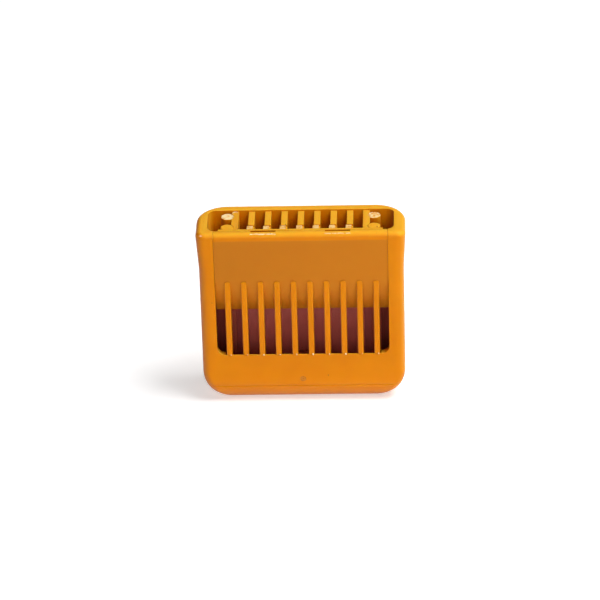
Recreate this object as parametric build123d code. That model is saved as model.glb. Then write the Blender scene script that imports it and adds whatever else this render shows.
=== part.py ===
"""Pheromone insect trap: a flat moulded plastic box that stands upright.

The housing slips down over a base tray.  A hood with ten deep slats closes its front, a comb
with seven bars closes its mouth, and the tray carries a glue board and a pheromone lure.
Millimetres.  +Z is up, the slatted front faces -Y, and the origin is the middle of the
underside.
"""

from build123d import *
from math import asin, cos, degrees, radians, sin, sqrt
import os

# Overall form
height = 56.1                  # underside to rim
rim_width = 60.6
rim_depth = 19.0
side_flare = 0.7               # how far each side leans out at the rim
face_flare = 0.5               # the same, front and back
flare_height = 12.5            # the part of the height that leans
front_corner_radius = 2.8      # upright corners, seen from above
back_corner_radius = 8.8
base_round_height = 10.0       # where the faces start to turn under
base_round_side = 9.0          # how far the sides turn in
base_round_face = 5.6          # how far the front and back turn in
base_corner_radius = 2.2       # corners of the flat underside
rim_round = 1.5
side_wall = 2.7
front_wall = 2.2
back_wall = 3.2
well_front_radius = 1.2        # corners of the well inside the housing
well_back_radius = 4.2
mouth_front_radius = 2.6       # its corners near the rim, where it is squarer behind
mouth_back_radius = 2.3
mouth_depth = 17.0

# Base tray
seam_height = 5.4
seam_gap = 0.15
floor_thickness = 2.6
skirt_height = 3.0
skirt_root = 1.0               # how far the skirt reaches down into the base
skirt_wall = 1.3
tray_clearance = 0.2           # each side, between the skirt and the housing

# Front hood and slats
hood_border = 4.5              # housing face left on each side of the hood
hood_joint = 0.08              # joint line between the hood and the housing
hood_drop = 11.8               # rim to where the hood starts to roll inwards
lip_drop = 16.0                # from there down to the lip's end
lip_depth = 5.6                # how far in the lip ends, from the front
lip_thickness = 2.0
sill_height = 16.2
sill_land = 0.5                # flat top of the sill, before its chamfer
opening_corner_radius = 2.4
slat_count = 10
slat_end_gap = 2.74            # hood's side to the first slat
slat_width = 1.7
slat_top_drop = 3.9            # start of the roll to the slats' tops
slat_top_round = 0.7

# Top comb
comb_clearance = 0.12
comb_drop = 0.3                # bars and end walls sit this far below the rim
rail_end_gap = 3.2             # front rail's end to the side of the well
rail_thickness = 0.9
rail_height = 5.5
bar_count = 7
bar_width = 1.9
bar_height = 7.6
notch_length = 2.9             # lowered front end of each bar
notch_drop = 0.6
block_width = 1.75
block_length = 2.0
block_offset = 0.35            # each block stands left of its bar's middle
end_wall_to_pin = 3.25         # end wall's inner face to the middle of the pins
end_wall_thickness = 2.05
foot_thickness = 2.0
foot_inset = 0.1               # foot's end to the outermost point of the pins
cross_rail_depth = 1.6
ledge_inset = 0.55             # end wall's inner face to the ledge
ledge_length = 3.0
ledge_depth = 1.3
ledge_height = 2.0
latch_slot_length = 7.2
latch_slot_width = 0.8
latch_slot_depth = 2.2
latch_slot_spacing = 21.4      # middle to middle

# Stake pins
pin_diameter = 3.7
pin_fit = 0.04
pin_side_gap = 5.7             # side of the well to the middle of the pins
pin_back_gap = 2.98            # comb's back to the middle of the back pins
pin_front_gap = 2.73           # comb's front to the middle of the front pins
pin_drop = 0.25

# Glue board and its carrier
board_height = 28.0
board_thickness = 0.7
glue_thickness = 0.4
glue_margin = 2.6
board_clearance = 0.15
post_width = 2.1
post_height = 27.0
post_overlap = 0.9             # how far a post's lips reach over the board
post_lip = 0.6
carrier_gap = 0.15             # carrier to the inside of the skirt
carrier_sole = 1.6

# Lure
lure_gap = 0.4                 # the lure's cup to the glue
septum_diameter = 4.8
septum_height = 8.0
septum_flange_diameter = 6.4
septum_flange_height = 1.4
septum_well_diameter = 2.8
septum_well_depth = 4.5
cup_wall = 0.8
cup_floor = 1.0
cup_height = 5.0
cup_clearance = 0.1
fill_height = 2.5
fill_clearance = 0.05

# Worked out from the sizes above
half_width = rim_width / 2 - side_flare
half_depth = rim_depth / 2 - face_flare
flare_start = height - flare_height
well_half_width = half_width - side_wall
well_front = -half_depth + front_wall
well_back = half_depth - back_wall
hood_half_width = half_width - hood_border
slat_pitch = (2 * (hood_half_width - slat_end_gap) - slat_width) / (slat_count - 1)
lip_start = height - hood_drop
slat_top = lip_start - slat_top_drop
beyond = 5.0                   # how far a cutting tool runs past what it cuts
just_beyond = 1.0              # the same, where another wall is near
floor_top = floor_thickness
skirt_top = seam_height + skirt_height
comb_top = height - comb_drop
comb_foot_top = comb_top - bar_height
comb_underside = comb_foot_top - foot_thickness
rail_front = well_front + comb_clearance
rail_back = rail_front + rail_thickness
comb_back = well_back - comb_clearance
rail_half_length = well_half_width - rail_end_gap
pin_x = well_half_width - pin_side_gap
pin_radius = pin_diameter / 2
pin_back_y = comb_back - pin_back_gap
pin_front_y = rail_front + pin_front_gap
end_wall_inner = pin_x - end_wall_to_pin
end_wall_outer = end_wall_inner + end_wall_thickness
foot_end = pin_x + pin_radius - foot_inset
bar_pitch = (end_wall_inner + end_wall_outer) / (bar_count + 1)
ledge_start = end_wall_inner + ledge_inset
pin_places = {
    "back_left": (-pin_x, pin_back_y),
    "front_left": (-pin_x, pin_front_y),
    "back_right": (pin_x, pin_back_y),
    "front_right": (pin_x, pin_front_y),
}
skirt_half_width = well_half_width - tray_clearance
skirt_front = well_front + tray_clearance
skirt_back = well_back - tray_clearance
skirt_inner_back_radius = well_back_radius - tray_clearance - skirt_wall
carrier_back = skirt_back - skirt_wall - carrier_gap
groove_back = carrier_back - post_lip
groove_front = groove_back - board_thickness - 2 * board_clearance
carrier_front = groove_front - post_lip
carrier_half_length = skirt_half_width - skirt_wall - skirt_inner_back_radius
board_half_width = carrier_half_length - post_width - board_clearance
board_back = groove_back - board_clearance
board_front = board_back - board_thickness
board_base = floor_top + carrier_sole
glue_front = board_front - glue_thickness
cup_radius = septum_diameter / 2 + cup_clearance + cup_wall
lure_y = glue_front - lure_gap - cup_radius
septum_base = floor_top + cup_floor


def plan(half_x, front, back, front_radius, back_radius, z):
    """A rounded oblong lying at height z, with its own front and back corner radii."""
    outline = Rectangle(2 * half_x, back - front)
    outline = fillet(outline.vertices().sort_by(Axis.Y)[:2], front_radius)
    outline = fillet(outline.vertices().sort_by(Axis.Y)[-2:], back_radius)
    return Pos(0, (front + back) / 2, z) * outline


def block(x_range, y_range, z_range):
    """A box between three pairs of limits."""
    size = [high - low for low, high in (x_range, y_range, z_range)]
    middle = [(low + high) / 2 for low, high in (x_range, y_range, z_range)]
    return Pos(*middle) * Box(*size)


def base_section(angle):
    """One level of the rounded base: 0 degrees at its top, 90 at the flat underside."""
    inset = 1 - cos(radians(angle))
    level = base_round_height * (1 - sin(radians(angle)))
    front_radius = front_corner_radius + (base_corner_radius - front_corner_radius) * inset
    back_radius = back_corner_radius + (base_corner_radius - back_corner_radius) * inset
    half_x = half_width - base_round_side * inset
    half_y = half_depth - base_round_face * inset
    return plan(half_x, -half_y, half_y, front_radius, back_radius, level)


def outer_form():
    """The whole outside of the closed trap as one solid."""
    angles = [90, 75, 60, 45, 30, 15, 0]
    bowl = loft([base_section(angle) for angle in angles])
    corners = (front_corner_radius, back_corner_radius)
    foot, shoulder = [plan(half_width, -half_depth, half_depth, *corners, level)
                      for level in (base_round_height, flare_start)]
    rim = plan(rim_width / 2, -rim_depth / 2, rim_depth / 2, *corners, height)
    trunk = extrude(foot, flare_start - base_round_height)
    collar = loft([shoulder, rim], ruled=True)
    form = bowl + trunk + collar
    return fillet(form.edges().group_by(Axis.Z)[-1], rim_round)


def cavity():
    """The straight well inside the housing, from below the seam to above the rim."""
    sides = (well_half_width, well_front, well_back)
    mouth_floor = height - mouth_depth
    well = plan(*sides, well_front_radius, well_back_radius, seam_height - beyond)
    mouth = plan(*sides, mouth_front_radius, mouth_back_radius, mouth_floor)
    return (extrude(well, mouth_floor - seam_height + beyond)
            + extrude(mouth, mouth_depth + beyond))


def front_at(level):
    """How far forward the front face is at a height: it leans out towards the rim."""
    leaning = max(level - flare_start, 0) / flare_height
    return -half_depth - face_flare * leaning


lip_front = front_at(lip_start)
lip_radius = (lip_drop ** 2 + lip_depth ** 2) / (2 * lip_depth)
lip_turn = degrees(asin(lip_drop / lip_radius))
slat_foot = sill_height - (front_wall - sill_land)


def lip_point(angle, depth=0.0):
    """A (y, z) point of the rolled lip: 0 degrees at its top, depth behind its face."""
    reach = lip_radius - depth
    return (lip_front + lip_radius - reach * cos(radians(angle)),
            lip_start - reach * sin(radians(angle)))


def lip_angle(level):
    """Where round the lip's face a height is."""
    return degrees(asin((lip_start - level) / lip_radius))


def lip_arc(start, end, depth=0.0):
    """The lip's curve between two angles, as an arc of the side view."""
    middle = lip_point((start + end) / 2, depth)
    return ThreePointArc(lip_point(start, depth), middle, lip_point(end, depth))


def side_slab(edges, low_x, high_x):
    """A closed run of edges, drawn as (y, z) in the side view, made solid between two x."""
    view = Plane(origin=(low_x, 0, 0), x_dir=(0, 1, 0), z_dir=(1, 0, 0))
    return extrude(view * make_face(edges), high_x - low_x)


def front_window():
    """The opening in the housing's front, from the sill up through the rim."""
    outline = Rectangle(2 * hood_half_width, height - sill_height + beyond,
                        align=(Align.CENTER, Align.MIN))
    outline = fillet(outline.vertices().sort_by(Axis.Y)[:2], opening_corner_radius)
    view = Plane(origin=(0, well_front + just_beyond, sill_height),
                 x_dir=(1, 0, 0), z_dir=(0, -1, 0))
    return extrude(view * outline, beyond + front_wall + face_flare)


def sill_chamfer():
    """The wedge cut from behind the sill, so that its top slopes down into the box."""
    top = (-half_depth + sill_land, sill_height)
    corner = (well_front + just_beyond, sill_height)
    foot = (corner[0], sill_height - (corner[0] - top[0]))
    width = hood_half_width - opening_corner_radius
    return side_slab(Polyline(top, foot, corner, close=True), -width, width)


def ledges(y_range):
    """A pair of small ledges for the comb's feet to stand on."""
    pieces = Part()
    for side in (-1, 1):
        ends = sorted((side * ledge_start, side * (ledge_start + ledge_length)))
        pieces += block(ends, y_range, (comb_underside - ledge_height, comb_underside))
    return pieces


def housing_shell(form):
    """The tub with its rim, front frame and sill, open at its mouth and underneath."""
    below_seam = block((-rim_width, rim_width), (-rim_depth, rim_depth),
                       (-beyond, seam_height + seam_gap))
    shell = form - below_seam - cavity() - front_window() - sill_chamfer()
    return shell + ledges((well_back - ledge_depth, well_back + back_wall / 2))


def latch_slots():
    """The two shallow slots in the rim, where the hood meets the comb's front rail."""
    slots = Part()
    for side in (-1, 1):
        middle = side * latch_slot_spacing / 2
        slots += block((middle - latch_slot_length / 2, middle + latch_slot_length / 2),
                       (well_front - latch_slot_width, well_front),
                       (height - latch_slot_depth, height + beyond))
    return slots


def front_hood(form):
    """The hood: the upper front wall, which rolls inwards behind the slats."""
    half_span = hood_half_width - hood_joint
    wall = form & block((-half_span, half_span), (-rim_depth, well_front),
                        (lip_start, height + beyond))
    edges = Curve() + [
        lip_arc(0, lip_turn),
        Line(lip_point(lip_turn), lip_point(lip_turn, lip_thickness)),
        lip_arc(lip_turn, 0, lip_thickness),
        Line(lip_point(0, lip_thickness), lip_point(0)),
    ]
    lip = side_slab(edges, -half_span, half_span)
    end = lip.edges().filter_by(Axis.X).group_by(Axis.Z)[0]
    lip = fillet(end, lip_thickness / 3)
    hood = wall + lip + ledges((well_front - front_wall / 2, well_front + ledge_depth))
    return hood - latch_slots()


def slat(x):
    """One deep slat: it fills the space under the lip and stands on the sill."""
    top = lip_angle(slat_top)
    end = lip_point(lip_turn)
    edges = Curve() + [
        Polyline(lip_point(top), (-half_depth, slat_top), (-half_depth, sill_height),
                 (-half_depth + sill_land, sill_height), (well_front, slat_foot),
                 (end[0], slat_foot), end),
        lip_arc(lip_turn, top),
    ]
    body = side_slab(edges, x - slat_width / 2, x + slat_width / 2)
    outline = Rectangle(slat_width, slat_top - slat_foot + beyond,
                        align=(Align.CENTER, Align.MAX))
    outline = fillet(outline.vertices().sort_by(Axis.Y)[-2:], slat_top_round)
    view = Plane(origin=(x, 0, slat_top), x_dir=(1, 0, 0), z_dir=(0, -1, 0))
    return body & extrude(view * outline, rim_depth, both=True)


def pin_bores():
    """The four round bores that the stake pins stand in."""
    bores = Part()
    for x, y in pin_places.values():
        bores += Pos(x, y, comb_underside) * Cylinder(
            pin_radius + pin_fit, 2 * height, align=(Align.CENTER, Align.CENTER, Align.MIN))
    return bores


def comb_frame():
    """The comb's front rail, two end walls with their feet, and a low rail at the back."""
    rail = block((-rail_half_length, rail_half_length), (rail_front, rail_back),
                 (height - rail_height, height))
    frame = rail + block((-end_wall_inner, end_wall_inner),
                         (comb_back - cross_rail_depth, comb_back),
                         (comb_underside, comb_foot_top))
    for side in (-1, 1):
        wall = sorted((side * end_wall_inner, side * end_wall_outer))
        foot = sorted((side * end_wall_inner, side * foot_end))
        frame += block(wall, (rail_front, comb_back), (comb_underside, comb_top))
        frame += block(foot, (rail_front, comb_back), (comb_underside, comb_foot_top))
    return frame - pin_bores()


def comb_bar(x):
    """One bar across the mouth, with a lowered front end and a small block on it."""
    half = bar_width / 2
    lowered = comb_top - notch_drop
    bar = block((x - half, x + half), (rail_back, comb_back), (comb_foot_top, comb_top))
    bar -= block((x - bar_width, x + bar_width), (rail_back - beyond, rail_back + notch_length),
                 (lowered, height))
    middle = x - block_offset
    return bar + block((middle - block_width / 2, middle + block_width / 2),
                       (rail_back, rail_back + block_length), (lowered - notch_drop, height))


def stake_pin(x, y):
    """One round pin, with its top edge broken."""
    pin = Pos(x, y, comb_underside) * Cylinder(
        pin_radius, height - pin_drop - comb_underside,
        align=(Align.CENTER, Align.CENTER, Align.MIN))
    return fillet(pin.edges().group_by(Axis.Z)[-1], pin_drop)


def skirt_plan(inset, z):
    """The skirt's outline, or its inside when inset by a wall."""
    front_radius = max(well_front_radius - tray_clearance - inset, tray_clearance)
    back_radius = well_back_radius - tray_clearance - inset
    return plan(skirt_half_width - inset, skirt_front + inset, skirt_back - inset,
                front_radius, back_radius, z)


def base_cover(form):
    """The rounded base below the seam, with a skirt that stands up inside the housing."""
    bowl = form & block((-rim_width, rim_width), (-rim_depth, rim_depth),
                        (-beyond, seam_height))
    cover = bowl + extrude(skirt_plan(0, seam_height - skirt_root), skirt_root + skirt_height)
    return cover - extrude(skirt_plan(skirt_wall, floor_top), skirt_top)


def board_carrier():
    """A sole with a grooved post at each end, which hold the glue board upright."""
    far = carrier_half_length
    carrier = block((-far, far), (carrier_front, carrier_back), (floor_top, board_base))
    for side in (-1, 1):
        post = sorted((side * (board_half_width + board_clearance - post_overlap), side * far))
        groove = sorted((0, side * (board_half_width + board_clearance)))
        carrier += block(post, (carrier_front, carrier_back), (floor_top, board_base + post_height))
        carrier -= block(groove, (groove_front, groove_back), (board_base, height))
    return carrier


def glue_board():
    """The stiff card in the carrier's grooves."""
    return block((-board_half_width, board_half_width), (board_front, board_back),
                 (board_base, board_base + board_height))


def glue_layer():
    """The sheet of trapping glue on the front of the board."""
    half_span = board_half_width - glue_margin
    return block((-half_span, half_span), (glue_front, board_front),
                 (board_base + glue_margin, board_base + board_height - glue_margin))


def lure_cup():
    """The round cup on the tray's floor that holds the lure."""
    base = (Align.CENTER, Align.CENTER, Align.MIN)
    cup = Pos(0, lure_y, floor_top) * Cylinder(cup_radius, cup_height, align=base)
    bore = Pos(0, lure_y, septum_base) * Cylinder(cup_radius - cup_wall, cup_height, align=base)
    return cup - bore


def lure_septum():
    """The rubber septum: a plug with a flange and a well for the pheromone."""
    base = (Align.CENTER, Align.CENTER, Align.MIN)
    top = septum_base + septum_height
    septum = Pos(0, lure_y, septum_base) * Cylinder(septum_diameter / 2, septum_height, align=base)
    septum += Pos(0, lure_y, top - septum_flange_height) * Cylinder(
        septum_flange_diameter / 2, septum_flange_height, align=base)
    return septum - Pos(0, lure_y, top - septum_well_depth) * Cylinder(
        septum_well_diameter / 2, height, align=base)


def lure_fill():
    """The pheromone pellet at the bottom of the septum's well."""
    foot = septum_base + septum_height - septum_well_depth
    return Pos(0, lure_y, foot) * Cylinder(
        septum_well_diameter / 2 - fill_clearance, fill_height,
        align=(Align.CENTER, Align.CENTER, Align.MIN))


def spread(count, pitch):
    """Evenly spaced places either side of the middle."""
    return [(number - (count - 1) / 2) * pitch for number in range(count)]


def build():
    """Every piece of the trap, by name."""
    form = outer_form()
    pieces = {
        "housing_shell": housing_shell(form),
        "front_hood": front_hood(form),
        "comb_frame": comb_frame(),
        "base_cover": base_cover(form),
        "board_carrier": board_carrier(),
        "glue_board": glue_board(),
        "glue_layer": glue_layer(),
        "lure_cup": lure_cup(),
        "lure_septum": lure_septum(),
        "lure_fill": lure_fill(),
    }
    for number, x in enumerate(spread(slat_count, slat_pitch), 1):
        pieces[f"slat_{number:02d}"] = slat(x)
    for number, x in enumerate(spread(bar_count, bar_pitch), 1):
        pieces[f"comb_bar_{number}"] = comb_bar(x)
    for name, (x, y) in pin_places.items():
        pieces[f"stake_pin_{name}"] = stake_pin(x, y)
    return pieces


os.makedirs("parts", exist_ok=True)
for name, piece in build().items():
    export_step(piece, f"parts/{name}.step")
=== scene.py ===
# %% [markdown]
# # A slatted pheromone trap in moulded orange plastic
# The trap is a small upright box.  Its mouth at the top holds a comb of bars between four
# round pins, its front has ten deep slats under a rolled hood, and a rounded base closes it
# below.  The CAD frame fixes every size and place.  This lesson gives the pieces what a
# mould and a sprue cutter leave on them: soft edges, flash, torn pin tops and a gate mark.

# %% Load the frame
import math

import bmesh
import bpy
from mathutils import Matrix, Vector, noise
from mathutils.bvhtree import BVHTree


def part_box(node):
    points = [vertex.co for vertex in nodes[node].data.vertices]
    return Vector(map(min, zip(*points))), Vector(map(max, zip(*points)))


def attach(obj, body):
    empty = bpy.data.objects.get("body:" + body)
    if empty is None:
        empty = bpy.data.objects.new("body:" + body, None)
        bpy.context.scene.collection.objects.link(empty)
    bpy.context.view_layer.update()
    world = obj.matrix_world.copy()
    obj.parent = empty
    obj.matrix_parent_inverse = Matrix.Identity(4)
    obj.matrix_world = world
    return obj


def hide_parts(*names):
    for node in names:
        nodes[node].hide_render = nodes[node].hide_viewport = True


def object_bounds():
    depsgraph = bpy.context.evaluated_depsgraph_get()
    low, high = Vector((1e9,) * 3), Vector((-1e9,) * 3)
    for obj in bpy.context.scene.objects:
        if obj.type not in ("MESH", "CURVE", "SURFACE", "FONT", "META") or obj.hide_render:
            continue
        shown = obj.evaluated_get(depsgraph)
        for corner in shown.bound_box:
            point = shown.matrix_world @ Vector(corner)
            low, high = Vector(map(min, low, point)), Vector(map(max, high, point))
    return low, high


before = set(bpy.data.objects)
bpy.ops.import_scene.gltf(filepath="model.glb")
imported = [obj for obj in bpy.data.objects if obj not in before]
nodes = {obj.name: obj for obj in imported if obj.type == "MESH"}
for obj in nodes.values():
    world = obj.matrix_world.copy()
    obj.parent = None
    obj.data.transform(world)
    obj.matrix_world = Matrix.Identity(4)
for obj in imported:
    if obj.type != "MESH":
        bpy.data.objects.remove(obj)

MM = 0.001
cad_low, cad_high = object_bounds()
print("trap, in mm:", [round(v / MM, 2) for v in cad_high - cad_low])


# %% [markdown]
# ## The camera
# The trap is seen from a little to the right and well above, through a long lens, so the
# upright edges stay nearly parallel.  The camera is also rolled slightly, as a hand-held
# one often is.  It is placed first, so that everything made later can be judged through it.

# %% Place the camera
AZIMUTH, ELEVATION, ROLL = (math.radians(angle) for angle in (2.05, 28.94, -1.71))
DISTANCE = 1165.5 * MM
LENS, SENSOR = 239.6, 36.0
AIM = Vector((0, -0.5, 28.0)) * MM
AIM_LEFT, AIM_UP = 0.9 * MM, 1.46 * MM     # from the aim point to the view's centre

level_right = Vector((math.cos(AZIMUTH), math.sin(AZIMUTH), 0))
forward = Vector((-math.sin(AZIMUTH) * math.cos(ELEVATION),
                  math.cos(AZIMUTH) * math.cos(ELEVATION), -math.sin(ELEVATION)))
level_up = level_right.cross(forward)
right = level_right * math.cos(ROLL) + level_up * math.sin(ROLL)
up = level_up * math.cos(ROLL) - level_right * math.sin(ROLL)
lens_data = bpy.data.cameras.new("long_lens")
lens_data.lens, lens_data.sensor_width = LENS, SENSOR
camera = bpy.data.objects.new("long_lens", lens_data)
bpy.context.collection.objects.link(camera)
place = AIM - right * AIM_LEFT + up * AIM_UP - forward * DISTANCE
turn = Matrix((right, up, -forward)).transposed().to_4x4()
camera.matrix_world = Matrix.Translation(place) @ turn
bpy.context.scene.camera = camera
print("camera at, in mm:", [round(v / MM) for v in place])


# %% [markdown]
# ## Colour and nodes
# A maker gives a colour as an sRGB hex value, and Blender's sockets want linear light, so
# one function turns one into the other.  A second adds a node with its settings and links.
# Both serve the materials and the Geometry Nodes trees.

# %% Helpers for colours and nodes
def linear(hex_colour):
    """The linear-light RGBA of an sRGB hex colour such as 'e07a10'."""
    channels = [int(hex_colour[start:start + 2], 16) / 255 for start in (0, 2, 4)]
    light = [c / 12.92 if c <= 0.04045 else ((c + 0.055) / 1.055) ** 2.4 for c in channels]
    return (*light, 1.0)


def add_node(tree, kind, settings=None, links=None):
    """Add a node, set its properties and sockets, and link outputs to its inputs."""
    node = tree.nodes.new(kind)
    for name, value in (settings or {}).items():
        if isinstance(name, str) and hasattr(node, name):
            setattr(node, name, value)
        else:
            node.inputs[name].default_value = value
    for name, source in (links or {}).items():
        tree.links.new(source, node.inputs[name])
    return node


def new_material(name):
    """An empty material with a Principled shader linked to its output."""
    material = bpy.data.materials.new(name)
    material.use_nodes = True
    tree = material.node_tree
    tree.nodes.clear()
    shader = add_node(tree, "ShaderNodeBsdfPrincipled")
    add_node(tree, "ShaderNodeOutputMaterial", links={"Surface": shader.outputs["BSDF"]})
    return material, tree, shader


# %% [markdown]
# ## Moulded polypropylene
# The shell is polypropylene from a polished mould: a deep orange with a soft gloss.  Close
# to, the surface has broad faint flow marks, a very fine unevenness that blurs reflections,
# and here and there a dark speck of burnt resin or dust.  Each scale below is a real size.
# The specks are up to about 0.4 mm across and thinly spread, so only some of the cells of a
# Voronoi pattern hold one.  Three slow changes lie under them, all painted light and shade:
# faces that look up are painted lighter, faces that look down or left are painted darker,
# and the walls inside are painted a duller red for the shade in there.  The first two follow
# the way a face looks, the third its height.

# %% The moulded plastic
PP_IOR = 1.49
PP_GLOSS = 0.08
PP_ROUGHNESS = 0.3
ORANGE, ORANGE_SHADE = "d88000", "d37b00"
# The first of these paints light on faces that look up, the second paints shade on faces that look
# down or left, and the third paints the shade inside.
LIT_TONE, SHADED_TONE, SHADED_INSIDE = "f6b22c", "a6622e", "b4504a"
SUN = Vector((0.55, -0.1, 0.83))             # the side from which the painted light falls
LIT_FROM, LIT_FULL = 0.35, 0.85        # cosines from SUN
SHADE_FROM, SHADE_FULL = -0.05, -0.6
INNER_SHADE_TOP, INNER_SHADE_EDGE = 46 * MM, 2 * MM      # height where the painted shade inside ends
FLOW_SCALE, WEAR_SCALE, GRAIN_SCALE = 11 * MM, 2.5 * MM, 0.6 * MM
SPECK_SPACING = 4 * MM
SPECK_REACH = 0.045                          # radius, as a share of the spacing
SPECKLESS = 0.4                              # share of the cells that hold no speck
SCATTER_REACH = 1.6 * MM


def tint(tree, under, colour, factor):
    """The colour laid over what is under it, as far as the factor says."""
    mix = add_node(tree, "ShaderNodeMixRGB", {"Color2": linear(colour)},
                   {"Fac": factor, "Color1": under})
    return mix.outputs["Color"]


def ramp_factor(tree, value, start, end, most):
    """A factor that goes from 0 to this most as the value goes from start to end."""
    factor = add_node(tree, "ShaderNodeMapRange",
                      {"From Min": start, "From Max": end, "To Max": most}, {"Value": value})
    return factor.outputs["Result"]


def speck_mask(tree, place):
    """One inside the specks and zero elsewhere."""
    cells = add_node(tree, "ShaderNodeTexVoronoi", {"Scale": 1 / SPECK_SPACING},
                     {"Vector": place})
    dot = add_node(tree, "ShaderNodeMath", {"operation": "LESS_THAN", 1: SPECK_REACH},
                   {0: cells.outputs["Distance"]})
    pick = add_node(tree, "ShaderNodeSeparateColor", links={"Color": cells.outputs["Color"]})
    chosen = add_node(tree, "ShaderNodeMath", {"operation": "GREATER_THAN", 1: SPECKLESS},
                      {0: pick.outputs["Red"]})
    mask = add_node(tree, "ShaderNodeMath", {"operation": "MULTIPLY"},
                    {0: dot.outputs["Value"], 1: chosen.outputs["Value"]})
    return mask.outputs["Value"]


def painted_light_colour(tree, place, plain, painted_light, inner_shade):
    """The plain colour, painted lighter above as if lit, and painted darker with shade below, to
    the left and inside.
    """
    facing = add_node(tree, "ShaderNodeNewGeometry").outputs["Normal"]
    lit = add_node(tree, "ShaderNodeVectorMath", {"operation": "DOT_PRODUCT", 1: SUN},
                   {0: facing}).outputs["Value"]
    level = add_node(tree, "ShaderNodeSeparateXYZ", links={"Vector": place}).outputs["Z"]
    # painted light on faces that look up, then painted shade on faces that look down or left
    lightened = tint(tree, plain, LIT_TONE, ramp_factor(tree, lit, LIT_FROM, LIT_FULL, painted_light))
    darkened = tint(tree, lightened, SHADED_TONE, ramp_factor(tree, lit, SHADE_FROM, SHADE_FULL, painted_light))
    # painted shade on the walls inside, below a height
    return tint(tree, darkened, SHADED_INSIDE,
                ramp_factor(tree, level, INNER_SHADE_TOP + INNER_SHADE_EDGE, INNER_SHADE_TOP - INNER_SHADE_EDGE, inner_shade))


def moulded_plastic(name, colour=ORANGE, shade=ORANGE_SHADE, roughness=PP_ROUGHNESS,
                    gloss=PP_GLOSS, speck="7a4428", glow=0.2, painted_light=0.0, inner_shade=0.0):
    """Injection-moulded plastic in two close tones, with painted light and shade, grain and a few
    specks.
    """
    material, tree, shader = new_material(name)
    place = add_node(tree, "ShaderNodeTexCoord").outputs["Object"]
    flow = add_node(tree, "ShaderNodeTexNoise", {"Scale": 1 / FLOW_SCALE, "Detail": 2.0},
                    {"Vector": place})
    tones = add_node(tree, "ShaderNodeValToRGB", links={"Fac": flow.outputs["Fac"]})
    low, high = tones.color_ramp.elements
    low.position, low.color = 0.35, linear(shade)
    high.position, high.color = 0.65, linear(colour)
    lit_and_shaded = painted_light_colour(tree, place, tones.outputs["Color"], painted_light, inner_shade)
    surface = tint(tree, lit_and_shaded, speck, speck_mask(tree, place))
    tree.links.new(surface, shader.inputs["Base Color"])
    wear = add_node(tree, "ShaderNodeTexNoise", {"Scale": 1 / WEAR_SCALE, "Detail": 4.0},
                    {"Vector": place})
    sheen = add_node(tree, "ShaderNodeMapRange",
                     {"To Min": roughness - 0.05, "To Max": roughness + 0.05},
                     {"Value": wear.outputs["Fac"]})
    tree.links.new(sheen.outputs["Result"], shader.inputs["Roughness"])
    grain = add_node(tree, "ShaderNodeTexNoise", {"Scale": 1 / GRAIN_SCALE, "Detail": 3.0},
                     {"Vector": place})
    bump = add_node(tree, "ShaderNodeBump", {"Strength": 0.25, "Distance": 0.03 * MM},
                    {"Height": grain.outputs["Fac"]})
    tree.links.new(bump.outputs["Normal"], shader.inputs["Normal"])
    shader.inputs["IOR"].default_value = PP_IOR
    shader.inputs["Specular IOR Level"].default_value = gloss
    shader.inputs["Subsurface Weight"].default_value = glow
    shader.inputs["Subsurface Radius"].default_value = (1.0, 0.3, 0.1)
    shader.inputs["Subsurface Scale"].default_value = SCATTER_REACH
    return material


# both paint light and shade by the way a face looks; the second also paints the shade inside
polypropylene = moulded_plastic("moulded_polypropylene", painted_light=0.9)
inner_shade_plastic = moulded_plastic("inner_shade_polypropylene", painted_light=0.9, inner_shade=0.95)
print("made", polypropylene.name, "and", inner_shade_plastic.name)


# %% [markdown]
# ## The hood's matt field and its painted shade
# Below its rounded top edge the hood is rougher than the rest, as if that field of the
# mould had been left with a spark-eroded finish, and it is painted browner as shade.  The
# same plastic is used, and only the field's colour and roughness change, over half a
# millimetre, at one height.

# %% The hood's plastic
FIELD_TOP = cad_high.z - 2.1 * MM
FIELD_EDGE = 0.25 * MM


def matt_shaded_field(name, colour, roughness):
    """The moulded plastic, with a field below FIELD_TOP that is rougher and painted browner as
    shade.
    """
    material = moulded_plastic(name, painted_light=0.9)
    tree = material.node_tree
    shader = next(node for node in tree.nodes if node.type == "BSDF_PRINCIPLED")
    place = add_node(tree, "ShaderNodeTexCoord").outputs["Object"]
    level = add_node(tree, "ShaderNodeSeparateXYZ", links={"Vector": place}).outputs["Z"]
    inside = add_node(tree, "ShaderNodeMapRange",
                      {"From Min": FIELD_TOP + FIELD_EDGE, "From Max": FIELD_TOP - FIELD_EDGE},
                      {"Value": level}).outputs["Result"]
    plain = shader.inputs["Base Color"].links[0].from_socket
    # the browner colour of the field is painted shade
    tree.links.new(tint(tree, plain, colour, inside), shader.inputs["Base Color"])
    smooth = shader.inputs["Roughness"].links[0].from_socket
    dull = add_node(tree, "ShaderNodeMix", {"B": roughness}, {"Factor": inside, "A": smooth})
    tree.links.new(dull.outputs["Result"], shader.inputs["Roughness"])
    return material


# the field's browner colour is painted shade; its higher roughness is the finish
hood_plastic = matt_shaded_field("moulded_polypropylene_matt_shaded_field", "c07212", 0.5)
print("made", hood_plastic.name)


# %% [markdown]
# ## Torn plastic and painted sheen
# Where polypropylene is torn, cut or bent it turns pale, because tiny voids open in it.
# The tops of the back pins show it.  The same pale tone is also used as painted light: a
# painted sheen on the blocks on the comb, and painted highlights on the flash by the latch
# slots and on the beads at the slats' feet.  A noise mixes the pale tone in, patch by patch,
# and the pale surface is rougher.

# %% The whitened plastic
PATCH_SCALE = 0.9 * MM


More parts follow.
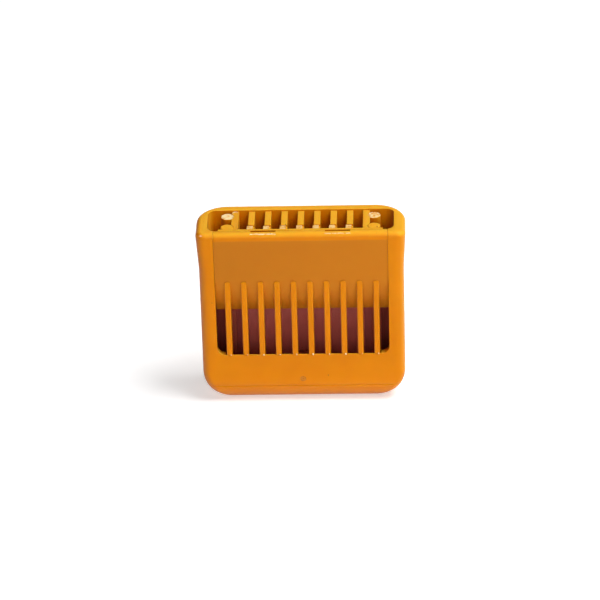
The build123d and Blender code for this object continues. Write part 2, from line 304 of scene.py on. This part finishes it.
def whitened_plastic(name, pale, share, roughness):
    """Moulded plastic with pale patches over about this share of the surface; the pale tone is
    torn plastic on some pieces and painted light on others.
    """
    material, tree, shader = new_material(name)
    place = add_node(tree, "ShaderNodeTexCoord").outputs["Object"]
    patches = add_node(tree, "ShaderNodeTexNoise", {"Scale": 1 / PATCH_SCALE, "Detail": 3.0},
                       {"Vector": place})
    ramp = add_node(tree, "ShaderNodeValToRGB", links={"Fac": patches.outputs["Fac"]})
    low, high = ramp.color_ramp.elements
    low.position, low.color = 0.58 - 0.3 * share, linear("e89c18")
    high.position, high.color = 0.78 - 0.3 * share, linear(pale)
    tree.links.new(ramp.outputs["Color"], shader.inputs["Base Color"])
    bump = add_node(tree, "ShaderNodeBump", {"Strength": 0.5, "Distance": 0.08 * MM},
                    {"Height": patches.outputs["Fac"]})
    tree.links.new(bump.outputs["Normal"], shader.inputs["Normal"])
    shader.inputs["IOR"].default_value = PP_IOR
    shader.inputs["Specular IOR Level"].default_value = 0.4
    shader.inputs["Roughness"].default_value = roughness
    return material


# The first is torn plastic on the pins and whiskers and a painted glint on the beads and the left
# flash; the third is a painted sheen and highlight.
torn_and_glint_plastic = whitened_plastic("torn_and_glint_polypropylene", "fbe0a8", 0.9, 0.5)
half_torn_plastic = whitened_plastic("half_torn_polypropylene", "fbe0a8", 0.5, 0.5)
pale_sheen_plastic = whitened_plastic("pale_sheen_polypropylene", "f8cc84", 0.85, 0.4)
print("made", torn_and_glint_plastic.name, half_torn_plastic.name, pale_sheen_plastic.name)


# %% [markdown]
# ## Soft edges
# No moulded edge is quite sharp, and the thin line of light along each one is what makes
# plastic look real.  A copy of each CAD piece has its loose triangles merged and its flat
# facets joined, and then a Bevel modifier rounds only the sharp edges.

# %% Soft-edged copies
def joined_shape(name):
    """The CAD node's triangles as one clean bmesh."""
    shape = bmesh.new()
    shape.from_mesh(nodes[name].data)
    bmesh.ops.remove_doubles(shape, verts=shape.verts, dist=0.001 * MM)
    bmesh.ops.dissolve_limit(shape, angle_limit=math.radians(0.5), verts=shape.verts,
                             edges=shape.edges)
    return shape


def new_piece(name, shape):
    """An object at the origin from a bmesh, smoothly shaded."""
    mesh = bpy.data.meshes.new(name)
    shape.to_mesh(mesh)
    shape.free()
    mesh.polygons.foreach_set("use_smooth", [True] * len(mesh.polygons))
    piece = bpy.data.objects.new(name, mesh)
    bpy.context.collection.objects.link(piece)
    return piece


def soften(piece, width, segments=3):
    """Round the piece's sharp edges."""
    bevel = piece.modifiers.new("soft_edges", "BEVEL")
    bevel.width, bevel.segments = width, segments
    bevel.limit_method, bevel.angle_limit = "ANGLE", math.radians(32)
    bevel.harden_normals = True
    return piece


def flatten_shading(piece):
    """Let the large faces set the shading, so that they stay flat between rounded edges."""
    weighted = piece.modifiers.new("flat_faces", "WEIGHTED_NORMAL")
    weighted.weight = 100
    return piece


def baked(piece):
    """The piece with its modifiers worked into its mesh."""
    graph = bpy.context.evaluated_depsgraph_get()
    mesh = bpy.data.meshes.new_from_object(piece.evaluated_get(graph))
    piece.modifiers.clear()
    piece.data = mesh
    return piece


def mount(piece, body, slot, material, *stands_for):
    """Give a piece its material, its body and the CAD nodes it stands for; the slot is not used.
    """
    if material:
        piece.data.materials.clear()
        piece.data.materials.append(material)
    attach(piece, body)
    if stands_for:
        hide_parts(*stands_for)
    return piece


def soft_copy(name, node, body, slot, material, width):
    """A soft-edged piece in place of one CAD node."""
    piece = soften(new_piece(name, joined_shape(node)), width)
    return mount(piece, body, slot, material, node)


tub = soft_copy("housing_tub", "housing_shell", "housing", "housing_plastic",
                polypropylene, 0.22 * MM)
hood = soft_copy("hood_panel", "front_hood", "housing", "housing_plastic",
                 hood_plastic, 0.06 * MM)
bowl = soft_copy("base_bowl", "base_cover", "base_tray", "housing_plastic",
                 polypropylene, 0.15 * MM)
comb = soft_copy("comb_body", "comb_frame", "top_comb", "housing_plastic",
                 polypropylene, 0.15 * MM)
WALL_REACH = 3 * MM          # faces nearer the front than this are seen from outside


def paint_inner_shade(piece):
    """Give the plastic with the painted shade inside to the faces behind the front wall that look
    inwards.
    """
    piece.data.materials.append(inner_shade_plastic)
    middle = (cad_low + cad_high) / 2
    for face in piece.data.polygons:
        inside = (face.center - middle).xy.dot(face.normal.xy) < 0
        face.material_index = int(inside and face.center.y > cad_low.y + WALL_REACH)


# paint the shade inside the tub
paint_inner_shade(tub)
print("faces inside the tub:", sum(face.material_index for face in tub.data.polygons))
print("shell pieces:", [piece.name for piece in (tub, hood, bowl, comb)])


# %% [markdown]
# ## Geometry Nodes trees
# The slats, bars, beads and flash all repeat or follow a line, so each is grown by a small
# tree with named inputs.  The helpers make a tree with its inputs, and run it: inputs are
# set by their identifiers before the first evaluation, and the result becomes a plain mesh.

# %% Helpers for the trees
def new_tree(name, inputs):
    """A Geometry Nodes tree with named inputs; returns it with its input sockets."""
    tree = bpy.data.node_groups.new(name, "GeometryNodeTree")
    tree.interface.new_socket("Geometry", in_out="OUTPUT", socket_type="NodeSocketGeometry")
    for label, kind in inputs.items():
        tree.interface.new_socket(label, in_out="INPUT", socket_type="NodeSocket" + kind)
    return tree, add_node(tree, "NodeGroupInput").outputs


def finish_tree(tree, geometry, material):
    """End a tree in Realize Instances, smooth shading and Set Material."""
    solid = add_node(tree, "GeometryNodeRealizeInstances", links={"Geometry": geometry})
    smooth = add_node(tree, "GeometryNodeSetShadeSmooth",
                      links={"Geometry": solid.outputs["Geometry"]})
    dressed = add_node(tree, "GeometryNodeSetMaterial",
                       links={"Geometry": smooth.outputs["Geometry"], "Material": material})
    add_node(tree, "NodeGroupOutput", links={"Geometry": dressed.outputs["Geometry"]})


def grow(name, tree, **values):
    """Run a tree with these inputs and keep the result as a plain mesh piece."""
    piece = bpy.data.objects.new(name, bpy.data.meshes.new(name + "_seed"))
    bpy.context.collection.objects.link(piece)
    modifier = piece.modifiers.new(name, "NODES")
    modifier.node_group = tree
    for item in tree.interface.items_tree:
        if item.in_out == "INPUT":
            modifier[item.identifier] = values[item.name]
    baked(piece)
    print(name, "has", len(piece.data.polygons), "faces")
    return piece


def row_tree():
    """Copies of one shape at even steps."""
    tree, given = new_tree("row_of_copies", {
        "Shape": "Object", "Count": "Int", "Step": "Vector", "Finish": "Material"})
    line = add_node(tree, "GeometryNodeMeshLine", {"mode": "OFFSET"},
                    {"Count": given["Count"], "Offset": given["Step"]})
    shape = add_node(tree, "GeometryNodeObjectInfo", links={"Object": given["Shape"]})
    copies = add_node(tree, "GeometryNodeInstanceOnPoints",
                      links={"Points": line.outputs["Mesh"],
                             "Instance": shape.outputs["Geometry"]})
    finish_tree(tree, copies.outputs["Instances"], given["Finish"])
    return tree


row = row_tree()
print("tree:", row.name)


# %% [markdown]
# ## The slats
# Each slat is a deep blade that runs from under the hood to the sill.  In front its two
# upright edges are well rounded, and that is where the light from the side draws a bright
# strip.  Behind, and where it meets the hood, it stays sharp, because it grows out of them.
# One blade is shaped, with its foot let into the sill's rounded edge, and the row
# tree places the ten.

# %% Shape one blade and place ten
SLAT_ROUND = 0.36 * MM
SLATS = sorted(name for name in nodes if name.startswith("slat_"))
SILL_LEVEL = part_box(SLATS[0])[0].z + 1.7 * MM      # flat top of the sill, where slats stand
FOOT_DEPTH = 0.2 * MM
NEAR = 0.01 * MM


def blade_shape(node):
    """One slat with its upright front edges rounded and its foot let into the sill."""
    shape = joined_shape(node)
    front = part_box(node)[0].y
    upright = [edge for edge in shape.edges
               if all(abs(vert.co.y - front) < NEAR for vert in edge.verts)
               and abs(edge.verts[0].co.x - edge.verts[1].co.x) < NEAR]
    bmesh.ops.bevel(shape, geom=upright, offset=SLAT_ROUND, segments=5, profile=0.5,
                    affect="EDGES", clamp_overlap=False)
    for vert in shape.verts:
        if vert.co.y < front + SLAT_ROUND + NEAR and abs(vert.co.z - SILL_LEVEL) < NEAR:
            vert.co.z -= FOOT_DEPTH
    return shape


def pitch(names):
    """The step from one node of a row to the next."""
    first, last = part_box(names[0])[0].x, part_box(names[-1])[0].x
    return (last - first) / (len(names) - 1)


blade = new_piece("blade_pattern", blade_shape(SLATS[0]))
slats = grow("slat_row", row, Shape=blade, Count=len(SLATS), Step=(pitch(SLATS), 0, 0),
             Finish=polypropylene)
bpy.data.objects.remove(blade)
flatten_shading(mount(slats, "housing", "housing_plastic", None, *SLATS))
print("slat pitch, in mm:", round(pitch(SLATS) / MM, 3))


# %% [markdown]
# ## Beads at the slats' feet
# At the right foot of most slats the mould leaves a tiny bead where slat and sill meet.
# They are only a few tenths of a millimetre across, and each one is painted pale as a glint.

# %% Grow the beads
def bead_tree():
    """Small lumps in a row, each a little different."""
    tree, given = new_tree("foot_beads", {
        "Start": "Vector", "Step": "Vector", "Count": "Int", "Smallest": "Vector",
        "Largest": "Vector", "Seed": "Int", "Finish": "Material"})
    line = add_node(tree, "GeometryNodeMeshLine", {"mode": "OFFSET"},
                    {"Count": given["Count"], "Start Location": given["Start"],
                     "Offset": given["Step"]})
    lump = add_node(tree, "GeometryNodeMeshIcoSphere", {"Radius": 1.0, "Subdivisions": 3})
    size = add_node(tree, "FunctionNodeRandomValue", {"data_type": "FLOAT_VECTOR"},
                    {"Min": given["Smallest"], "Max": given["Largest"], "Seed": given["Seed"]})
    lumps = add_node(tree, "GeometryNodeInstanceOnPoints",
                     links={"Points": line.outputs["Mesh"], "Instance": lump.outputs["Mesh"],
                            "Scale": size.outputs["Value"]})
    finish_tree(tree, lumps.outputs["Instances"], given["Finish"])
    return tree


slat_low, slat_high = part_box(SLATS[0])
foot = (slat_high.x - 0.42 * MM, slat_low.y + 0.06 * MM, SILL_LEVEL + 0.1 * MM)
# the beads' pale finish is a painted glint
beads = grow("foot_beads", bead_tree(), Start=foot, Step=(pitch(SLATS), 0, 0),
             Count=len(SLATS), Smallest=(0.12 * MM, 0.12 * MM, 0.14 * MM),
             Largest=(0.28 * MM, 0.2 * MM, 0.4 * MM), Seed=4, Finish=torn_and_glint_plastic)
mount(beads, "housing", "housing_plastic", None)


# %% [markdown]
# ## The comb's bars
# Seven bars cross the mouth.  Each has a lowered front end with a small block on it, and
# the blocks are painted pale on top, a painted sheen.  The bar is the CAD one with soft
# edges, repeated in a row, and the faces on top of the blocks take the pale plastic.

# %% Place seven bars
BARS = sorted(name for name in nodes if name.startswith("comb_bar_"))
BLOCK_RISE = 0.3 * MM          # blocks stand this much above the bars

bar = baked(soften(new_piece("bar_pattern", joined_shape(BARS[0])), 0.16 * MM))
bars = grow("mouth_bars", row, Shape=bar, Count=len(BARS), Step=(pitch(BARS), 0, 0),
            Finish=polypropylene)
bpy.data.objects.remove(bar)
block_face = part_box(BARS[0])[1].z - BLOCK_RISE / 2
bars.data.materials.clear()
bars.data.materials.append(polypropylene)
bars.data.materials.append(pale_sheen_plastic)
# the tops of the blocks get a painted sheen
for face in bars.data.polygons:
    face.material_index = int(face.center.z > block_face)
flatten_shading(mount(bars, "top_comb", "housing_plastic", None, *BARS))
print("bar pitch, in mm:", round(pitch(BARS) / MM, 3))


# %% [markdown]
# ## The pins
# Four round pins stand at the ends of the mouth.  The back two were torn from their sprue:
# their tops are rough, cratered and pale, the right one only in part.  The front two are
# only slightly uneven and keep their colour.  Each top is cut into rings, and a noise in the
# pin's own place sinks the rings' points.

# %% Turn four pins
RINGS, SPOKES = 9, 40
PIN_EDGE = 0.25 * MM
COARSE, FINE = 0.5 * MM, 0.2 * MM


def pin_profile(radius, foot_level, top_level):
    """Radius and height of each ring of points, from the foot to near the middle of the top."""
    turns = [math.radians(angle) for angle in (0, 30, 60, 90)]
    edge = [(radius - PIN_EDGE * (1 - math.cos(turn)), top_level - PIN_EDGE * (1 - math.sin(turn)))
            for turn in turns]
    top = [((radius - PIN_EDGE) * (RINGS - ring) / RINGS, top_level) for ring in range(1, RINGS)]
    return [(radius, foot_level)] + edge + top


def pin_shape(node, depth):
    """A round pin with a rounded edge and a top that is uneven to about this depth."""
    low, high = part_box(node)
    middle = (low + high) / 2
    shape = bmesh.new()
    loops = []
    for reach, level in pin_profile((high.x - low.x) / 2, low.z, high.z):
        loop = []
        for spoke in range(SPOKES):
            turn = 2 * math.pi * spoke / SPOKES
            point = Vector((middle.x + reach * math.cos(turn),
                            middle.y + reach * math.sin(turn), level))
            if level > high.z - PIN_EDGE / 4:
                point.z -= depth * (0.5 + 0.5 * noise.noise(point / COARSE))
                point.z -= depth * (0.3 + 0.3 * noise.noise(point / FINE))
            loop.append(shape.verts.new(point))
        loops.append(loop)
    for outer, inner in zip(loops, loops[1:]):
        for spoke in range(SPOKES):
            after = (spoke + 1) % SPOKES
            shape.faces.new((outer[spoke], outer[after], inner[after], inner[spoke]))
    shape.faces.new(loops[-1])
    shape.faces.new(reversed(loops[0]))
    return shape


for node, depth, top in (("stake_pin_back_left", 0.3 * MM, torn_and_glint_plastic),
                         ("stake_pin_back_right", 0.3 * MM, half_torn_plastic),
                         ("stake_pin_front_left", 0.06 * MM, polypropylene),
                         ("stake_pin_front_right", 0.05 * MM, polypropylene)):
    pin = new_piece(node.replace("stake_", "round_"), pin_shape(node, depth))
    pin.data.materials.append(polypropylene)
    pin.data.materials.append(top)
    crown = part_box(node)[1].z - 0.7 * MM
    for face in pin.data.polygons:
        face.material_index = int(face.center.z > crown and face.normal.z > 0.4)
    mount(pin, "top_comb", "housing_plastic", None, node)
    print(pin.name, "is uneven to", round(depth / MM, 2), "mm")


# %% [markdown]
# ## Flash by the latch slots
# In front of each latch slot the mould leaves a ragged sliver of plastic, painted pale as a
# highlight.  A tree draws it: a line along the rim, pushed about by noise, with an uneven
# thickness.

# %% Grow the flash
def flash_tree():
    """A ragged sliver along a straight line."""
    tree, given = new_tree("ragged_flash", {
        "Start": "Vector", "End": "Vector", "Thickness": "Float", "Seed": "Float",
        "Finish": "Material"})
    line = add_node(tree, "GeometryNodeCurvePrimitiveLine",
                    links={"Start": given["Start"], "End": given["End"]})
    fine = add_node(tree, "GeometryNodeResampleCurve", {"Count": 70},
                    {"Curve": line.outputs["Curve"]})
    rough = add_node(tree, "ShaderNodeTexNoise",
                     {"noise_dimensions": "4D", "Scale": 1 / (0.7 * MM), "Detail": 3.0},
                     {"W": given["Seed"]})
    push = add_node(tree, "ShaderNodeVectorMath",
                    {"operation": "MULTIPLY_ADD", 1: (0, 0.5 * MM, 0.1 * MM),
                     2: (0, -0.25 * MM, -0.05 * MM)},
                    {0: rough.outputs["Color"]})
    moved = add_node(tree, "GeometryNodeSetPosition",
                     links={"Geometry": fine.outputs["Curve"],
                            "Offset": push.outputs["Vector"]})
    width = add_node(tree, "ShaderNodeMapRange",
                     {"From Min": 0.42, "From Max": 0.62, "To Min": 0.0, "To Max": 1.3},
                     {"Value": rough.outputs["Fac"]})
    sized = add_node(tree, "GeometryNodeSetCurveRadius",
                     links={"Curve": moved.outputs["Geometry"],
                            "Radius": width.outputs["Result"]})
    section = add_node(tree, "GeometryNodeCurvePrimitiveCircle", {"Resolution": 8},
                       {"Radius": given["Thickness"]})
    skin = add_node(tree, "GeometryNodeCurveToMesh", {"Fill Caps": True},
                    {"Curve": sized.outputs["Curve"],
                     "Profile Curve": section.outputs["Curve"]})
    finish_tree(tree, skin.outputs["Mesh"], given["Finish"])
    return tree


SLOT_MIDDLE, SLOT_HALF = 10.7 * MM, 3.7 * MM
FLASH_Y = cad_low.y + 0.8 * MM
FLASH_Z = cad_high.z - 0.22 * MM
sliver = flash_tree()
# both slivers are painted pale, as highlights along the rim
for side, label, seed, finish in ((-1, "left", 2.0, torn_and_glint_plastic),
                                  (1, "right", 7.0, pale_sheen_plastic)):
    ends = [side * SLOT_MIDDLE - SLOT_HALF, side * SLOT_MIDDLE + SLOT_HALF]
    flash = grow("latch_flash_" + label, sliver, Start=(ends[0], FLASH_Y, FLASH_Z),
                 End=(ends[1], FLASH_Y, FLASH_Z), Thickness=0.2 * MM, Seed=seed,
                 Finish=finish)
    mount(flash, "housing", "housing_plastic", None)


# %% [markdown]
# ## Whiskers and the gate mark
# Behind the back left pin a few hair-fine whiskers of plastic curl up, and low on the front
# the trimmed sprue has left a small ringed scar.  Both are thin wires that follow a curve,
# so a NURBS curve with a round bevel makes them.  The scar's points are laid on the tub's
# surface by a ray.

# %% Draw the wires
def wires(name, routes, radius, material):
    """Thin round wires along smooth routes, as one plain mesh."""
    curve = bpy.data.curves.new(name, "CURVE")
    curve.dimensions = "3D"
    curve.bevel_depth, curve.bevel_resolution, curve.use_fill_caps = radius, 3, True
    for route in routes:
        spline = curve.splines.new("NURBS")
        spline.points.add(len(route) - 1)
        for point, where in zip(spline.points, route):
            point.co = (*where, 1)
        spline.order_u, spline.use_endpoint_u = 3, True
    source = bpy.data.objects.new(name + "_line", curve)
    bpy.context.collection.objects.link(source)
    graph = bpy.context.evaluated_depsgraph_get()
    mesh = bpy.data.meshes.new_from_object(source.evaluated_get(graph))
    bpy.data.objects.remove(source)
    mesh.materials.clear()
    mesh.materials.append(material)
    piece = bpy.data.objects.new(name, mesh)
    bpy.context.collection.objects.link(piece)
    print(name, "has", len(mesh.polygons), "faces")
    return piece


def curl(middle, radius, start, end):
    """An upright-looking arc of points that lies nearly level, between two angles."""
    turns = [math.radians(start + (end - start) * step / 6) for step in range(7)]
    return [middle + Vector((radius * math.cos(turn), radius * math.sin(turn),
                             0.15 * radius * math.sin(2 * turn))) for turn in turns]


comb_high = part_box("comb_frame")[1]
pin_low, pin_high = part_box("stake_pin_back_left")
nest = Vector((pin_high.x + 0.1 * MM, pin_high.y + 0.45 * MM, comb_high.z - 0.22 * MM))
curls = [curl(nest, 0.42 * MM, 10, 250),
         curl(nest + Vector((0.5, 0.1, 0)) * MM, 0.3 * MM, -60, 190),
         curl(nest + Vector((-0.2, -0.5, 0)) * MM, 0.5 * MM, 60, 170)]
whiskers = wires("torn_whiskers", curls, 0.07 * MM, torn_and_glint_plastic)
mount(whiskers, "top_comb", "housing_plastic", None)

GATE_LEVEL, GATE_X = 8.0 * MM, -0.3 * MM
GATE_RINGS = (0.72 * MM, 0.18 * MM)          # radii
RING_POINTS = 24
skin_of_tub = BVHTree.FromObject(tub, bpy.context.evaluated_depsgraph_get())


def on_front(x, level):
    """The point of the tub's front face at this x and height."""
    return skin_of_tub.ray_cast(Vector((x, cad_low.y - MM, level)), Vector((0, 1, 0)))[0]


def ring_on_front(radius):
    """Points round a circle laid on the tub's front face."""
    turns = [2 * math.pi * step / RING_POINTS for step in range(RING_POINTS + 1)]
    return [on_front(GATE_X + radius * math.cos(turn), GATE_LEVEL + radius * math.sin(turn))
            for turn in turns]


scar_plastic = moulded_plastic("scarred_polypropylene", "b0742c", "a46a28", 0.5, 0.3)
gate_mark = wires("gate_mark", [ring_on_front(radius) for radius in GATE_RINGS],
                  0.1 * MM, scar_plastic)
mount(gate_mark, "housing", "housing_plastic", None)


# %% [markdown]
# ## Inside the trap
# The pieces inside are seen only as a dark red depth between the slats: a carrier with a
# grooved post at each end, a card with a film of glue, and the lure in its cup.  The
# carrier, card and glue are given dull red tones that paint the shade deep inside.
# The glue was spread by hand, so its face is a grid whose points sink by a soft noise.

# %% Finish the inner pieces
# The dull red tones of the carrier, card and glue are painted shade.
carrier_plastic = moulded_plastic("moulded_polypropylene_inner", "c45c44", "b85440", 0.5, 0.2)
coated_card = moulded_plastic("coated_card", "bc5a50", "b4544c", 0.6, 0.25, "5c2c1c", 0.0)
glue = moulded_plastic("trapping_glue", "e0746a", "d86c60", 0.4, 0.2, "6a3424", 0.0)
rubber = moulded_plastic("septum_rubber", "9a4a2c", "8e4226", 0.6, 0.3, "5c2a1c", 0.0)
wax = moulded_plastic("pheromone_wax", "d8c49a", "ccb68a", 0.45, 0.35, "b8a070")


def film_shape(node, columns, rows, depth):
    """A closed sheet whose front face sinks unevenly by up to this depth."""
    low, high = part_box(node)
    shape = bmesh.new()
    bmesh.ops.create_grid(shape, x_segments=columns, y_segments=rows, size=0.5)
    for vert in shape.verts:
        across, along = vert.co.x + 0.5, vert.co.y + 0.5
        vert.co = Vector((low.x + (high.x - low.x) * across, low.y,
                          low.z + (high.z - low.z) * along))
    front = list(shape.verts)
    moved = bmesh.ops.extrude_face_region(shape, geom=shape.faces[:])["geom"]
    for vert in (item for item in moved if isinstance(item, bmesh.types.BMVert)):
        vert.co.y = high.y
    for vert in front:
        vert.co.y += depth * (0.5 + 0.5 * noise.noise(vert.co / (2.5 * MM)))
    bmesh.ops.recalc_face_normals(shape, faces=shape.faces)
    return shape


soft_copy("carrier_moulding", "board_carrier", "base_tray", "carrier_plastic",
          carrier_plastic, 0.12 * MM)
soft_copy("board_card", "glue_board", "glue_card", "board_card", coated_card, 0.08 * MM)
soft_copy("lure_holder", "lure_cup", "base_tray", "carrier_plastic", carrier_plastic,
          0.15 * MM)
soft_copy("septum_plug", "lure_septum", "base_tray", "septum_rubber", rubber, 0.2 * MM)
soft_copy("pheromone_pellet", "lure_fill", "base_tray", "pheromone_wax", wax, 0.2 * MM)
film = new_piece("glue_film", film_shape("glue_layer", 72, 46, 0.15 * MM))
mount(film, "glue_card", "trapping_glue", glue, "glue_layer")


# %% [markdown]
# ## The studio
# A pale floor, lit a little from beneath, under soft light: a large key high on the right, a
# fill from the front that reaches in between the slats, and a pale surround.  A narrow
# softbox on the left shows only as a highlight on the rim's corner.

# %% Floor and light
def studio_floor(radius):
    """A pale round floor that the trap stands on, itself faintly bright."""
    shape = bmesh.new()
    bmesh.ops.create_circle(shape, cap_ends=True, radius=radius, segments=96)
    floor = new_piece("studio_floor", shape)
    material, tree, shader = new_material("white_board")
    shader.inputs["Base Color"].default_value = linear("f6f6f6")
    shader.inputs["Roughness"].default_value = 0.9
    shader.inputs["Specular IOR Level"].default_value = 0.1
    shader.inputs["Emission Color"].default_value = linear("ffffff")
    shader.inputs["Emission Strength"].default_value = 0.45
    floor.data.materials.append(material)


def softbox(name, direction, distance, size, power, only_reflected=False):
    """A square soft light that looks at the trap's middle; it may show only as a highlight."""
    data = bpy.data.lights.new(name, "AREA")
    data.shape, data.size, data.energy = "SQUARE", size, power
    light = bpy.data.objects.new(name, data)
    light.location = AIM + Vector(direction).normalized() * distance
    light.rotation_euler = (AIM - light.location).to_track_quat("-Z", "Y").to_euler()
    light.visible_diffuse = not only_reflected
    bpy.context.collection.objects.link(light)


studio_floor(5.0)
softbox("key_right", (0.42, -0.14, 0.9), 0.8, 0.45, 5.8)
softbox("softbox_left", (-0.66, -0.25, 0.64), 0.7, 0.16, 14.0, only_reflected=True)
softbox("front_fill", (0.12, -1.0, 0.3), 0.9, 0.5, 2.4)
surround = bpy.data.worlds.new("pale_surround")
surround.use_nodes = True
backdrop = surround.node_tree.nodes["Background"]
backdrop.inputs["Color"].default_value = linear("ffffff")
backdrop.inputs["Strength"].default_value = 0.15
bpy.context.scene.world = surround
bpy.context.scene.view_settings.view_transform = "Standard"
print("lights:", [light.name for light in bpy.data.lights])
